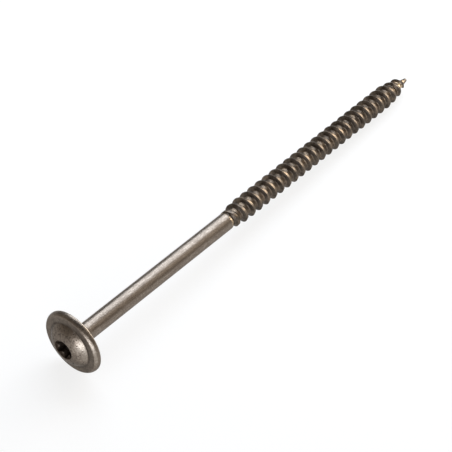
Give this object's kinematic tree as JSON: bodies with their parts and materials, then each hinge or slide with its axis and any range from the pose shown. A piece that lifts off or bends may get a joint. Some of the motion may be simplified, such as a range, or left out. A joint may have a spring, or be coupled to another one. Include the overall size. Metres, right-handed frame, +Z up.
{
  "type": "washer-head construction screw",
  "caption": "Long stainless wood screw with a wide washer head, a six-lobe recess, a plain shank and a pointed thread, for drawing timber together.",
  "frame": {"origin": "on the floor, under the middle of the lying screw's box", "axes": "+X along the screw from head to point, +Z up; the screw's own axis dips about 2.5 degrees towards the point"},
  "size_m": [0.1648, 0.0204, 0.0204],
  "materials": {
    "stainless_steel": "satin, slightly warm grey, as cold formed and rolled"
  },
  "bodies": {
    "root": {"screw": "stainless_steel"}
  },
  "joints": []
}
